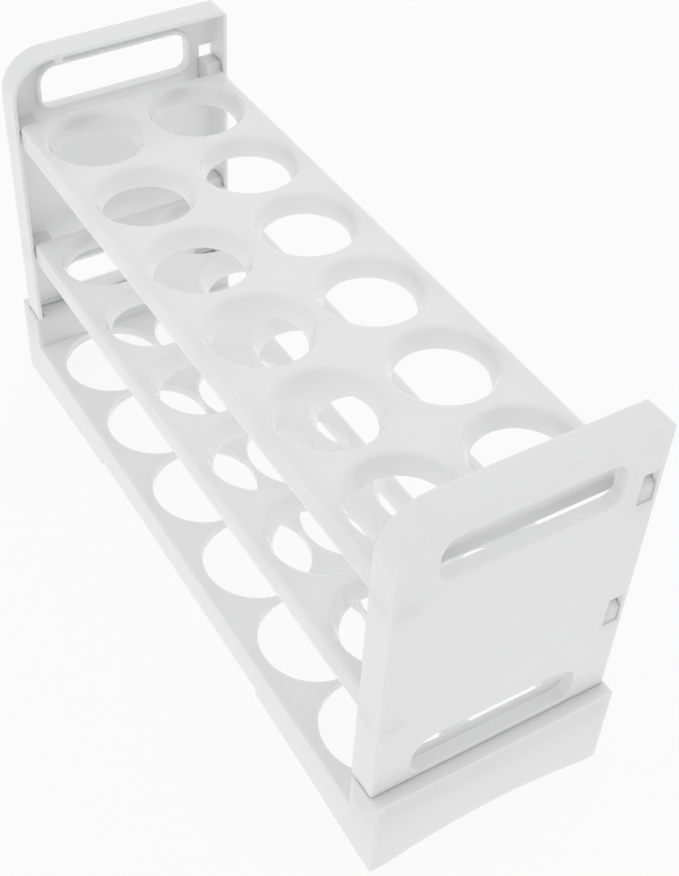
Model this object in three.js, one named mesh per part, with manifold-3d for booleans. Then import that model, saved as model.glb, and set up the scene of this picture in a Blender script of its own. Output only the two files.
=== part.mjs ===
// Egg storage rack: three tiers with twelve places each, moulded in white plastic.
// Two identical shelves and a base are held between two tray-shaped end plates.
// Lengths are millimetres. X runs along the rack, Y across it, Z up. The back is +Y.
// The origin is the middle of the footprint on the table.

import * as THREE from 'three';
import { mergeVertices } from 'three/addons/utils/BufferGeometryUtils.js';
import Module from 'manifold-3d';

const wasm = await Module();
wasm.setup();

// Driving dimensions of the whole rack
const columnCount = 6;
const rowCount = 2;
const pitch = 50;
const deckHeight = 24.5;
const tierSpacing = 65.4;
const handleRise = 30.7;
const sideMargin = 1.7;
const fitGap = 0.3;

// Shelves, the middle one and the top one alike
const mouthRadius = 23.3;
const mouthFillet = 2;
const throatRadius = 18.6;
const collarWall = 1.6;
const collarDrop = 9.1;
const shelfSkin = 2.4;
const skirtWall = 2;
const skirtDrop = 10.6;
const endSkirtDrop = 7.3;
const shelfCorner = 2.2;
const shelfEdge = 1.5;

// Tongue at each front corner of a shelf, and lug with a snap nose at each back corner
const tongueWidth = 9;
const tongueTop = 4.3;
const tongueThickness = 4;
const lugDrop = 8.8;
const lugRise = 4;
const lugSlope = 1.4;
const noseDrop = 4.8;
const noseSlope = 1.6;
const noseGap = 0.5;

// End plates: a web with a flange turned inwards all round
const trayDepth = 13.7;
const trayReach = 1.4;
const webWall = 2.2;
const flangeWall = 2;
const frontRadius = 20;
const backRadius = 3;
const plateEdge = 1;
const ledgeWall = 1.8;
const ledgeSetback = 0.8;
const ledgeWidth = 11;
const windowWidth = 7;
const windowHeight = 15;
const windowDrop = 5.3;
const padRise = 0.4;
const padInset = 2;
const nubWidth = 4;
const nubDrop = 2.4;
const nubDepth = 3;
const nubPlace = 24;

// Slots in the end plates: the upper one is the handle
const slotMargin = 17;
const slotHeight = 20;
const slotLip = 5.8;
const lipWall = 1.8;
const handleSill = 0.7;
const handleTopRadius = 8;
const handleLowRadius = 5;
const lowerSill = 2.4;
const lowerTopRadius = 9.8;
const lowerLowRadius = 5;

// Foot of each end plate, and the block of the base that takes it
const footDepth = 12;
const footInset = 1.2;
const footWall = 2.3;
const footPad = 3;
const footSetback = 4;
const socketWall = 1.8;

// Base
const endLedge = 5.7;
const sideLedge = 1;
const blockRise = 19.1;
const blockGap = 0.3;
const blockRadius = 4;
const blockSkin = 2.4;
const baseWall = 2.2;
const baseCorner = 1.5;
const deckSkin = 2.5;
const deckRimDrop = 4.5;
const deckWeb = 1.3;
const footLength = 8;
const sideArchRise = 5.6;
const reliefLength = 156;
const reliefRise = 7.5;
const endArchRise = 6.2;

// One overrun serves every cut
const overrun = 1;

// Fineness of the round forms
const holeSteps = 24;
const filletSteps = 3;
const edgeSteps = 3;
const bigArcSteps = 8;
const arcSteps = 4;
const archSteps = 6;

// Places that several pieces share
const fieldLength = columnCount * pitch;
const shelfHalfLength = fieldLength / 2;
const shelfHalfWidth = rowCount * pitch / 2 + sideMargin;
const flangeInner = shelfHalfWidth + fitGap;
const plateHalfWidth = flangeInner + flangeWall;
const trayEdge = shelfHalfLength - trayReach;
const plateFace = trayEdge + trayDepth;
const webInner = plateFace - webWall;
const baseHalfLength = plateFace + endLedge;
const baseHalfWidth = plateHalfWidth + sideLedge;
const blockTop = deckHeight + blockRise;
const blockFace = shelfHalfLength + blockGap;
const shoulder = blockTop + fitGap;
const footBottom = blockTop - footDepth;
const tiers = [deckHeight + tierSpacing, deckHeight + 2 * tierSpacing];
const topTier = tiers[tiers.length - 1];
const plateTop = topTier + handleRise;
const slotHalf = plateHalfWidth - slotMargin;
const windowBack = shelfHalfWidth;
const windowFront = windowBack - windowWidth;
const footWebOuter = plateFace - footInset;
const footWebInner = footWebOuter - footWall;
const footSideOuter = plateHalfWidth - footInset;
const footSideInner = footSideOuter - footWall;
const footEnd = trayEdge + footSetback;

// Turns a closed three.js geometry into a solid, facing outwards whichever way it was drawn.
function solid(geometry) {
  const bare = geometry.clone();
  bare.deleteAttribute('normal');
  bare.deleteAttribute('uv');
  const merged = mergeVertices(bare);
  const places = merged.attributes.position;
  const index = merged.index.array;
  const a = new THREE.Vector3();
  const b = new THREE.Vector3();
  const c = new THREE.Vector3();
  const kept = [];
  let volume = 0;
  for (let i = 0; i < index.length; i += 3) {
    const [p, q, r] = [index[i], index[i + 1], index[i + 2]];
    if (p === q || q === r || r === p) continue;
    kept.push([p, q, r]);
    a.fromBufferAttribute(places, p);
    b.fromBufferAttribute(places, q);
    c.fromBufferAttribute(places, r);
    volume += a.dot(b.cross(c));
  }
  const turned = volume < 0 ? kept.map(([p, q, r]) => [p, r, q]) : kept;
  return new wasm.Manifold(new wasm.Mesh({
    numProp: 3,
    vertProperties: new Float32Array(places.array),
    triVerts: new Uint32Array(turned.flat()),
  }));
}

// Turns a solid back into a geometry.
function geometryOf(body) {
  const mesh = body.getMesh();
  const geometry = new THREE.BufferGeometry();
  geometry.setAttribute('position', new THREE.BufferAttribute(new Float32Array(mesh.vertProperties), 3));
  geometry.setIndex(new THREE.BufferAttribute(new Uint32Array(mesh.triVerts), 1));
  geometry.computeVertexNormals();
  return geometry;
}

// The same geometry mirrored in the plane X = 0.
function mirrored(geometry) {
  const copy = geometry.clone();
  copy.scale(-1, 1, 1);
  const index = copy.index.array;
  for (let i = 0; i < index.length; i += 3) {
    [index[i + 1], index[i + 2]] = [index[i + 2], index[i + 1]];
  }
  copy.computeVertexNormals();
  return copy;
}

// A body at the +X end together with its mirror image at the -X end.
function withMirror(body) {
  return body.add(solid(mirrored(geometryOf(body))));
}

// A block between two corners.
function block(x0, x1, y0, y1, z0, z1) {
  const geometry = new THREE.BoxGeometry(x1 - x0, y1 - y0, z1 - z0);
  geometry.translate((x0 + x1) / 2, (y0 + y1) / 2, (z0 + z1) / 2);
  return solid(geometry);
}

// Sends a geometry drawn in its own u, v, w axes to the rack's axes.
function placed(geometry, u, v, w) {
  geometry.applyMatrix4(new THREE.Matrix4().makeBasis(u, v, w));
  return solid(geometry);
}

const alongX = new THREE.Vector3(1, 0, 0);
const alongY = new THREE.Vector3(0, 1, 0);
const alongZ = new THREE.Vector3(0, 0, 1);

// An outline of points pushed from one level to another.
function extruded(points, low, high) {
  const shape = new THREE.Shape(points);
  const geometry = new THREE.ExtrudeGeometry(shape, { depth: high - low, bevelEnabled: false });
  geometry.translate(0, 0, low);
  return geometry;
}

function prismZ(points, low, high) {
  return solid(extruded(points, low, high));
}

function prismX(points, low, high) {
  return placed(extruded(points, low, high), alongY, alongZ, alongX);
}

function prismY(points, low, high) {
  return placed(extruded(points, low, high), alongX, alongZ, alongY);
}

// A closed body through rings of equal point count, one above the other.
function stacked(rings) {
  const count = rings[0].points.length;
  const places = [];
  const faces = [];
  for (const ring of rings) {
    for (const point of ring.points) places.push(point.x, point.y, ring.level);
  }
  for (let k = 0; k + 1 < rings.length; k += 1) {
    for (let i = 0; i < count; i += 1) {
      const a = k * count + i;
      const b = k * count + (i + 1) % count;
      faces.push(a, b, b + count, a, b + count, a + count);
    }
  }
  const last = (rings.length - 1) * count;
  for (const [p, q, r] of THREE.ShapeUtils.triangulateShape(rings[0].points, [])) faces.push(p, r, q);
  for (const [p, q, r] of THREE.ShapeUtils.triangulateShape(rings[rings.length - 1].points, [])) {
    faces.push(last + p, last + q, last + r);
  }
  const geometry = new THREE.BufferGeometry();
  geometry.setAttribute('position', new THREE.Float32BufferAttribute(places, 3));
  geometry.setIndex(faces);
  return geometry;
}

// Points of an arc round (x, y), both ends included.
function arc(x, y, radius, from, to, steps) {
  const points = [];
  for (let i = 0; i <= steps; i += 1) {
    const angle = from + (to - from) * i / steps;
    points.push(new THREE.Vector2(x + radius * Math.cos(angle), y + radius * Math.sin(angle)));
  }
  return points;
}

const quarter = Math.PI / 2;

// A rectangle about the origin with round corners, drawn in by an inset.
function roundedRectangle(halfX, halfY, radius, steps, inset = 0) {
  const r = Math.max(radius - inset, fitGap / 2);
  const x = halfX - inset - r;
  const y = halfY - inset - r;
  return [
    ...arc(x, y, r, 0, quarter, steps),
    ...arc(-x, y, r, quarter, 2 * quarter, steps),
    ...arc(-x, -y, r, 2 * quarter, 3 * quarter, steps),
    ...arc(x, -y, r, 3 * quarter, 4 * quarter, steps),
  ];
}

// Insets and depths of a quarter-round edge, from the face inwards.
function edgeProfile(radius) {
  const profile = [];
  for (let i = 0; i <= edgeSteps; i += 1) {
    const angle = quarter * i / edgeSteps;
    profile.push({ inset: radius * (1 - Math.sin(angle)), depth: radius * (1 - Math.cos(angle)) });
  }
  return profile;
}

// A body turned about the Z axis from a profile of radius and height.
function turned(profile) {
  const geometry = new THREE.LatheGeometry(profile, holeSteps);
  geometry.rotateX(quarter);
  return solid(geometry);
}

// Centres of the places for eggs.
function holeCentres() {
  const centres = [];
  for (let column = 0; column < columnCount; column += 1) {
    for (let row = 0; row < rowCount; row += 1) {
      centres.push({
        x: (column - (columnCount - 1) / 2) * pitch,
        y: (row - (rowCount - 1) / 2) * pitch,
      });
    }
  }
  return centres;
}

// Adds or cuts one copy of a body at every egg place.
function atEveryHole(body, tool, operation) {
  let result = body;
  for (const { x, y } of holeCentres()) result = result[operation](tool.translate(x, y, 0));
  return result;
}

// Lean of a collar's wall, tangent to the rounding of its mouth.
function wallLean() {
  const across = mouthRadius - throatRadius;
  const down = collarDrop - mouthFillet;
  return Math.atan2(across, down) - Math.asin(mouthFillet / Math.hypot(across, down));
}

// Collar of a shelf, still solid: a funnel that hangs from the skin.
function collarBody() {
  const foot = throatRadius + collarWall;
  const root = foot + (collarDrop - shelfSkin / 2) * Math.tan(wallLean());
  return turned([
    new THREE.Vector2(0, -collarDrop),
    new THREE.Vector2(foot, -collarDrop),
    new THREE.Vector2(root, -shelfSkin / 2),
    new THREE.Vector2(0, -shelfSkin / 2),
  ]);
}

// Cutter for a collar's bore: the cone that the egg sits in, with its mouth rounded.
function boreCutter() {
  const mouth = arc(mouthRadius, -mouthFillet, mouthFillet, 2 * quarter - wallLean(), quarter, filletSteps);
  return turned([
    new THREE.Vector2(0, -collarDrop - overrun),
    new THREE.Vector2(throatRadius, -collarDrop - overrun),
    new THREE.Vector2(throatRadius, -collarDrop),
    ...mouth,
    new THREE.Vector2(mouthRadius, overrun),
    new THREE.Vector2(0, overrun),
  ]);
}

// A plain disc or short cylinder about the Z axis.
function disc(radius, low, high) {
  return turned([
    new THREE.Vector2(0, low),
    new THREE.Vector2(radius, low),
    new THREE.Vector2(radius, high),
    new THREE.Vector2(0, high),
  ]);
}

// Top skin and skirts of a shelf, with the upper edge rounded. Its top face is Z = 0.
function shelfShell() {
  const outline = (inset) => roundedRectangle(shelfHalfLength, shelfHalfWidth, shelfCorner, arcSteps, inset);
  const rings = edgeProfile(shelfEdge).map(({ inset, depth }) => ({ points: outline(inset), level: -depth }));
  rings.push({ points: outline(0), level: -skirtDrop });
  rings.reverse();
  const hollow = prismZ(outline(skirtWall), -skirtDrop - overrun, -shelfSkin);
  const between = shelfHalfWidth - skirtWall;
  const endGap = block(
    shelfHalfLength - skirtWall - overrun, shelfHalfLength + overrun,
    -between, between,
    -skirtDrop - overrun, -endSkirtDrop,
  );
  return solid(stacked(rings)).subtract(hollow).subtract(withMirror(endGap));
}

// Lug at a back corner: it rises above the shelf and its nose snaps into the plate's window.
function snapLug() {
  const root = shelfHalfLength - skirtWall;
  const tip = webInner - fitGap;
  const noseTip = plateFace - fitGap;
  const lug = [
    new THREE.Vector2(root, -lugDrop),
    new THREE.Vector2(tip, -lugDrop),
    new THREE.Vector2(tip, lugRise),
    new THREE.Vector2(shelfHalfLength + lugSlope, lugRise),
    new THREE.Vector2(shelfHalfLength, 0),
    new THREE.Vector2(root, 0),
  ];
  const nose = [
    new THREE.Vector2(shelfHalfLength + lugSlope, -noseDrop),
    new THREE.Vector2(noseTip, -noseDrop),
    new THREE.Vector2(noseTip, lugRise - noseSlope),
    new THREE.Vector2(noseTip - noseSlope, lugRise),
    new THREE.Vector2(shelfHalfLength + lugSlope, lugRise),
  ];
  return prismY(lug, windowFront - noseGap, shelfHalfWidth)
    .add(prismY(nose, windowFront + noseGap, windowBack - noseGap));
}

// Flat tongue at a front corner, below the top face.
function frontTongue() {
  return block(
    shelfHalfLength - skirtWall, webInner - fitGap,
    -shelfHalfWidth, -shelfHalfWidth + tongueWidth,
    -tongueTop - tongueThickness, -tongueTop,
  );
}

function shelfGeometry() {
  const ends = withMirror(snapLug().add(frontTongue()));
  const shell = atEveryHole(shelfShell(), collarBody(), 'add').add(ends);
  return geometryOf(atEveryHole(shell, boreCutter(), 'subtract'));
}

// Outline of an end plate in Y and Z: a large round front corner and a small back one.
function plateOutline(inset) {
  const front = frontRadius - inset;
  const back = Math.max(backRadius - inset, fitGap);
  const side = plateHalfWidth - inset;
  const top = plateTop - inset;
  return [
    new THREE.Vector2(-side, shoulder),
    new THREE.Vector2(side, shoulder),
    ...arc(side - back, top - back, back, 0, quarter, arcSteps),
    ...arc(-side + front, top - front, front, quarter, 2 * quarter, bigArcSteps),
  ];
}

// Outline of a slot standing on a sill, grown by a margin.
function slotOutline(sill, topRadius, lowRadius, grow) {
  const side = slotHalf + grow;
  const low = sill - grow;
  const high = sill + slotHeight + grow;
  const upper = topRadius + grow;
  const lower = lowRadius + grow;
  return [
    ...arc(side - upper, high - upper, upper, 0, quarter, arcSteps),
    ...arc(-side + upper, high - upper, upper, quarter, 2 * quarter, arcSteps),
    ...arc(-side + lower, low + lower, lower, 2 * quarter, 3 * quarter, arcSteps),
    ...arc(side - lower, low + lower, lower, 3 * quarter, 4 * quarter, arcSteps),
  ];
}

// Web and flange of an end plate, drawn at the +X end with its outer edge rounded.
function plateTray() {
  const rings = edgeProfile(plateEdge).map(({ inset, depth }) => ({
    points: plateOutline(inset),
    level: plateFace - depth,
  }));
  rings.push({ points: plateOutline(0), level: trayEdge });
  rings.reverse();
  const outer = placed(stacked(rings), alongY, alongZ, alongX);
  const inner = plateOutline(flangeWall);
  inner[0].y = shoulder - overrun;
  inner[1].y = shoulder - overrun;
  return outer.subtract(prismX(inner, trayEdge - overrun, webInner));
}

// Slots with the lip that stiffens them, on the inner side of the web.
function withSlot(plate, sill, topRadius, lowRadius) {
  const lip = prismX(slotOutline(sill, topRadius, lowRadius, lipWall), plateFace - slotLip, plateFace - plateEdge);
  const cut = prismX(
    slotOutline(sill, topRadius, lowRadius, 0), plateFace - slotLip - overrun, plateFace + overrun,
  );
  return plate.add(lip).subtract(cut);
}

// Ledge in a corner of the tray, its top face at the height given.
function ledge(side, top) {
  const inner = flangeInner - ledgeWidth;
  const outer = flangeInner + flangeWall / 2;
  return block(
    shelfHalfLength + ledgeSetback, webInner + webWall / 2,
    side > 0 ? inner : -outer, side > 0 ? outer : -inner,
    top - ledgeWall, top,
  );
}

// What holds one shelf: a ledge and a window at the back, a pocket of two ledges at the front.
function withShelfSeat(plate, tier) {
  const window = block(
    webInner - overrun, plateFace + overrun,
    windowFront, windowBack,
    tier - windowDrop, tier - windowDrop + windowHeight,
  );
  const pad = block(
    trayEdge + padInset, plateFace - plateEdge,
    plateHalfWidth - flangeWall / 2, plateHalfWidth + padRise,
    tier - windowDrop, tier - windowDrop + windowHeight,
  );
  return plate
    .add(ledge(1, tier - lugDrop - fitGap))
    .add(ledge(-1, tier - tongueTop - tongueThickness - fitGap))
    .add(ledge(-1, tier - tongueTop + fitGap + ledgeWall))
    .add(pad)
    .subtract(window);
}

// The foot is a thinner U in plan that drops into the base's block.
function footOutline(grow) {
  const outerX = footWebOuter + grow;
  const innerX = footWebInner - grow;
  const endX = footEnd - grow;
  const outerY = footSideOuter + grow;
  const innerY = footSideInner - grow;
  return [
    new THREE.Vector2(endX, -outerY),
    new THREE.Vector2(outerX, -outerY),
    new THREE.Vector2(outerX, outerY),
    new THREE.Vector2(endX, outerY),
    new THREE.Vector2(endX, innerY),
    new THREE.Vector2(innerX, innerY),
    new THREE.Vector2(innerX, -innerY),
    new THREE.Vector2(endX, -innerY),
  ];
}

// Small nub under the top flange, at its inner edge.
function topNub() {
  const under = plateTop - flangeWall;
  return block(
    trayEdge, trayEdge + nubDepth,
    -flangeInner + nubPlace - nubWidth, -flangeInner + nubPlace,
    under - nubDrop, under + flangeWall / 2,
  );
}

function plateGeometry() {
  let plate = plateTray();
  plate = withSlot(plate, topTier + handleSill, handleTopRadius, handleLowRadius);
  plate = plate.add(prismZ(footOutline(0), footBottom, shoulder + footPad));
  plate = withSlot(plate, blockTop + lowerSill, lowerTopRadius, lowerLowRadius);
  for (const tier of tiers) plate = withShelfSeat(plate, tier);
  return geometryOf(plate.add(topNub()));
}

// Lower edge of a long side from right to left: feet at the corners, an arch and a relief between them.
function sideArch() {
  const reach = baseHalfLength - footLength;
  const relief = reliefLength / 2;
  const rise = (x) => sideArchRise * (1 - (x / reach) ** 2);
  const right = [];
  for (let i = 0; i <= archSteps; i += 1) {
    const x = reach + (relief - reach) * i / archSteps;
    right.push(new THREE.Vector2(x, rise(x)));
  }
  right.push(new THREE.Vector2(relief, reliefRise));
  const left = right.map((point) => new THREE.Vector2(-point.x, point.y)).reverse();
  return [...right, ...left];
}

// Outline of the base seen from the front: a low deck with a raised block at each end.
function baseOutline() {
  const corner = blockTop - blockRadius;
  const right = [
    new THREE.Vector2(baseHalfLength, 0),
    new THREE.Vector2(baseHalfLength, blockTop),
    ...arc(blockFace + blockRadius, corner, blockRadius, quarter, 2 * quarter, arcSteps),
    new THREE.Vector2(blockFace, deckHeight),
  ];
  const left = right.map((point) => new THREE.Vector2(-point.x, point.y)).reverse();
  return [...right, ...left, ...sideArch().reverse()];
}

// The hollow under the deck and inside the blocks, open below.
function baseHollow() {
  const end = baseHalfLength - baseWall;
  const inner = blockFace + baseWall;
  const ceiling = blockTop - blockSkin;
  const under = deckHeight - deckSkin;
  return [
    new THREE.Vector2(end, -overrun),
    new THREE.Vector2(end, ceiling),
    new THREE.Vector2(inner, ceiling),
    new THREE.Vector2(inner, under),
    new THREE.Vector2(-inner, under),
    new THREE.Vector2(-inner, ceiling),
    new THREE.Vector2(-end, ceiling),
    new THREE.Vector2(-end, -overrun),
  ];
}

// Arch under the end skirts.
function endArch() {
  const reach = baseHalfWidth - footLength;
  const points = [new THREE.Vector2(-reach, -overrun), new THREE.Vector2(reach, -overrun)];
  for (let i = 0; i <= 2 * archSteps; i += 1) {
    const y = reach - reach * i / archSteps;
    points.push(new THREE.Vector2(y, endArchRise * (1 - (y / reach) ** 2)));
  }
  return points;
}

// Socket for one plate's foot, drawn at the +X end.
function socketShell() {
  return prismZ(footOutline(fitGap + socketWall), footBottom - fitGap - socketWall, blockTop - blockSkin / 2);
}

function socketGroove() {
  return prismZ(footOutline(fitGap), footBottom - fitGap, blockTop + overrun);
}

function baseGeometry() {
  const between = baseHalfWidth - baseWall;
  const holeReach = (pitch - deckWeb) / 2;
  const envelope = prismZ(
    roundedRectangle(baseHalfLength, baseHalfWidth, baseCorner, arcSteps), 0, blockTop + overrun,
  );
  const rim = disc(holeReach + deckWeb, deckHeight - deckRimDrop, deckHeight - deckSkin / 2);
  const bore = disc(holeReach, deckHeight - deckRimDrop - overrun, deckHeight + overrun);
  let base = prismY(baseOutline(), -baseHalfWidth, baseHalfWidth).intersect(envelope);
  base = base.subtract(prismY(baseHollow(), -between, between));
  base = atEveryHole(base, rim, 'add');
  base = base.add(withMirror(socketShell())).subtract(withMirror(socketGroove()));
  base = base.subtract(prismX(endArch(), -baseHalfLength - overrun, baseHalfLength + overrun));
  return geometryOf(atEveryHole(base, bore, 'subtract'));
}

// White glossy plastic.
function plastic() {
  return new THREE.MeshStandardMaterial({ color: 0xf1f2f1, roughness: 0.3, metalness: 0 });
}

function piece(name, geometry, height = 0) {
  const mesh = new THREE.Mesh(geometry, plastic());
  mesh.name = name;
  mesh.position.z = height;
  return mesh;
}

const rack = new THREE.Group();
const shelf = shelfGeometry();
const rightPlate = plateGeometry();
rack.add(piece('base', baseGeometry()));
rack.add(piece('middle_shelf', shelf, tiers[0]));
rack.add(piece('top_shelf', shelf, tiers[1]));
rack.add(piece('right_end_plate', rightPlate));
rack.add(piece('left_end_plate', mirrored(rightPlate)));

export default rack;
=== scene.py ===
"""Looks of the egg storage rack: fine moulded meshes, milky plastic, studio and camera.

The classes hold their sizes in millimetres, in the frame of the solid model. A mesh becomes metres when it
is made into an object.
"""

import logging
import math
from dataclasses import dataclass, field
from enum import Enum

import bmesh
import bpy
from mathutils import Matrix, Vector
from mathutils.geometry import delaunay_2d_cdt


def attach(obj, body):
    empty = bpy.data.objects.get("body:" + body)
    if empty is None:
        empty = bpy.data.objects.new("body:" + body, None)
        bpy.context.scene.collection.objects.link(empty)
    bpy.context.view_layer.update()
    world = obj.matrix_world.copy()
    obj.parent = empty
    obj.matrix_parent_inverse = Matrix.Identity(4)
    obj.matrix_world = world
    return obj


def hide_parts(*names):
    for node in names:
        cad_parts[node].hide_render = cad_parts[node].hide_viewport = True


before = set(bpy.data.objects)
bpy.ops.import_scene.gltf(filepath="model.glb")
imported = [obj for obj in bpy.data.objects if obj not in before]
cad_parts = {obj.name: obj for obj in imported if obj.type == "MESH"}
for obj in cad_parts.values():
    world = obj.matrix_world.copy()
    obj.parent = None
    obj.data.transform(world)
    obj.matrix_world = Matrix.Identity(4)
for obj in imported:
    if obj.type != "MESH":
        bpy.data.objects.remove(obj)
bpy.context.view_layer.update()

LOG = logging.getLogger("egg_rack")
MILLIMETRE = 0.001
QUARTER = math.pi / 2

# Top faces of the two shelves, in millimetres.
TIERS = (89.9, 155.3)
# Pieces of one rounding in a section, of a softened edge, and of a deck hole's outline.
BEND_STEPS = 6
EDGE_STEPS = 2
HOLE_STEPS = 96
# How far a cutter reaches past what it cuts.
PAST = 1.0
# How a flat cap is filled: only inside its outer ring, with points closer than this made one.
FILL_INSIDE = 1
FILL_WELD = 1e-5

Place = tuple[float, float]
Triple = tuple[float, float, float]


class Facing(Enum):
    """The way that the flat side of a moulded form looks."""

    UP = "up"
    RIGHT = "right"
    FRONT = "front"

    def place(self, u: float, v: float, w: float) -> Vector:
        """Returns the point of the rack's frame for a point of the form's own frame.

        Args:
            u: Place along the outline's first axis.
            v: Place along the outline's second axis.
            w: Height above the outline's plane.

        Returns:
            The point in the rack's frame.
        """
        if self is Facing.UP:
            return Vector((u, v, w))
        if self is Facing.RIGHT:
            return Vector((w, u, v))
        return Vector((u, w, v))


class Operation(Enum):
    """What a tool does to a body."""

    JOIN = "UNION"
    CUT = "DIFFERENCE"


@dataclass(frozen=True)
class Bend:
    """One corner of a section path, with the radius that rounds it."""

    across: float
    level: float
    radius: float = 0.0


def rounded_path(bends: list[Bend], steps: int) -> list[Place]:
    """Rounds the inner corners of an open section path.

    Args:
        bends: Corners of the path. The first and the last stay as they are.
        steps: Pieces that each rounding is made of.

    Returns:
        The points of the rounded path, as places across and levels.
    """
    path: list[Place] = [(bends[0].across, bends[0].level)]
    for before, bend, after in zip(bends, bends[1:], bends[2:]):
        corner = Vector((bend.across, bend.level))
        if bend.radius <= 0:
            path.append(tuple(corner))
            continue
        back = (Vector((before.across, before.level)) - corner).normalized()
        on = (Vector((after.across, after.level)) - corner).normalized()
        half = back.angle(on) / 2
        centre = corner + (back + on).normalized() * (bend.radius / math.sin(half))
        start = corner + back * (bend.radius / math.tan(half)) - centre
        end = corner + on * (bend.radius / math.tan(half)) - centre
        sweep = start.angle_signed(end)
        for step in range(steps + 1):
            point = centre + Matrix.Rotation(-sweep * step / steps, 2) @ start
            path.append((point.x, point.y))
    path.append((bends[-1].across, bends[-1].level))
    return path


@dataclass(frozen=True)
class RoundRectangle:
    """A rectangle with a radius at each corner, anticlockwise from the upper right one."""

    low: Place
    high: Place
    radii: tuple[float, float, float, float]
    steps: int = 8
    least: float = 0.4

    def points(self, inset: float) -> list[Place]:
        """Returns the outline drawn in by an inset, or let out by a negative one.

        Args:
            inset: How far each side moves inwards.

        Returns:
            The points of the outline, anticlockwise.
        """
        points: list[Place] = []
        corners = (
            (self.high[0], self.high[1], -1, -1),
            (self.low[0], self.high[1], 1, -1),
            (self.low[0], self.low[1], 1, 1),
            (self.high[0], self.low[1], -1, 1),
        )
        for index, (u, v, to_u, to_v) in enumerate(corners):
            radius = max(self.radii[index] - inset, self.least)
            middle = (u + to_u * (inset + radius), v + to_v * (inset + radius))
            for step in range(self.steps + 1):
                angle = QUARTER * (index + step / self.steps)
                points.append((middle[0] + radius * math.cos(angle), middle[1] + radius * math.sin(angle)))
        return points


@dataclass(frozen=True)
class Circle:
    """A circle whose radius is the place across."""

    centre: Place
    steps: int = 72

    def points(self, radius: float) -> list[Place]:
        """Returns the circle's points for a radius.

        Args:
            radius: The circle's radius.

        Returns:
            The points, anticlockwise.
        """
        turns = [2 * math.pi * step / self.steps for step in range(self.steps)]
        return [(self.centre[0] + radius * math.cos(a), self.centre[1] + radius * math.sin(a)) for a in turns]


@dataclass(frozen=True)
class FreeOutline:
    """A closed outline of chosen corners, anticlockwise, which can be drawn in square to its sides."""

    corners: tuple[Place, ...]
    least_cosine: float = 0.3

    def points(self, inset: float) -> list[Place]:
        """Returns the outline drawn in by an inset.

        Args:
            inset: How far each side moves inwards.

        Returns:
            The points of the outline, anticlockwise.
        """
        count = len(self.corners)
        moved: list[Place] = []
        for index, corner in enumerate(self.corners):
            here = Vector(corner)
            arriving = (here - Vector(self.corners[index - 1])).normalized()
            leaving = (Vector(self.corners[(index + 1) % count]) - here).normalized()
            first = Vector((-arriving.y, arriving.x))
            second = Vector((-leaving.y, leaving.x))
            towards = (first + second).normalized()
            moved.append(tuple(here + towards * (inset / max(towards.dot(first), self.least_cosine))))
        return moved


@dataclass
class Form:
    """Gathers the rings and faces of one closed body."""

    facing: Facing
    mesh: bmesh.types.BMesh = field(default_factory=bmesh.new)

    def sweep(self, outline: RoundRectangle | Circle | FreeOutline, path: list[Place]) -> list[list]:
        """Sends a section path round an outline.

        Args:
            outline: The outline, whose points follow the place across.
            path: Places across and levels, in order.

        Returns:
            The first and the last ring of vertices.
        """
        rings: list[list] = []
        for across, level in path:
            places = outline.points(across)
            rings.append([self.mesh.verts.new(self.facing.place(u, v, level)) for u, v in places])
        for lower, upper in zip(rings, rings[1:]):
            for index in range(len(lower)):
                self.mesh.faces.new((lower[index - 1], lower[index], upper[index], upper[index - 1]))
        return [rings[0], rings[-1]]

    def cap(self, outer: list, holes: list[list] | None = None) -> None:
        """Fills the flat space inside a ring, around the rings of the holes.

        Args:
            outer: Ring of vertices round the space.
            holes: Rings of the round holes in it.
        """
        loops = [outer, *(holes or [])]
        verts = [vert for loop in loops for vert in loop]
        owners = [index for index, loop in enumerate(loops) for _ in loop]
        edges: list[tuple[int, int]] = []
        start = 0
        for loop in loops:
            edges += [(start + i, start + (i + 1) % len(loop)) for i in range(len(loop))]
            start += len(loop)
        flat = [self.flat(vert.co) for vert in verts]
        _, _, faces, sources, _, _ = delaunay_2d_cdt(flat, edges, [], FILL_INSIDE, FILL_WELD)
        for face in faces:
            corners = [sources[i][0] for i in face]
            owner = {owners[i] for i in corners}
            if len(owner) == 1 and owner != {0}:
                continue
            self.mesh.faces.new([verts[i] for i in corners])

    def flat(self, point: Vector) -> Vector:
        """Finds a point's two places in the outline's plane.

        Args:
            point: A point of the rack's frame.

        Returns:
            The two places.
        """
        if self.facing is Facing.UP:
            return Vector((point.x, point.y))
        if self.facing is Facing.RIGHT:
            return Vector((point.y, point.z))
        return Vector((point.x, point.z))

    def body(self, name: str) -> bpy.types.Object:
        """Closes the form and returns it as an object, still in millimetres.

        Args:
            name: The object's name.

        Returns:
            The object, with its faces pointing out.
        """
        bmesh.ops.recalc_face_normals(self.mesh, faces=self.mesh.faces[:])
        return object_from(self.mesh, name)


def object_from(mesh: bmesh.types.BMesh, name: str) -> bpy.types.Object:
    """Turns a mesh in work into an object and frees it.

    Args:
        mesh: The mesh in work.
        name: The object's name.

    Returns:
        The new object, linked to the scene.
    """
    data = bpy.data.meshes.new(name)
    mesh.to_mesh(data)
    mesh.free()
    made = bpy.data.objects.new(name, data)
    bpy.context.scene.collection.objects.link(made)
    return made


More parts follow.
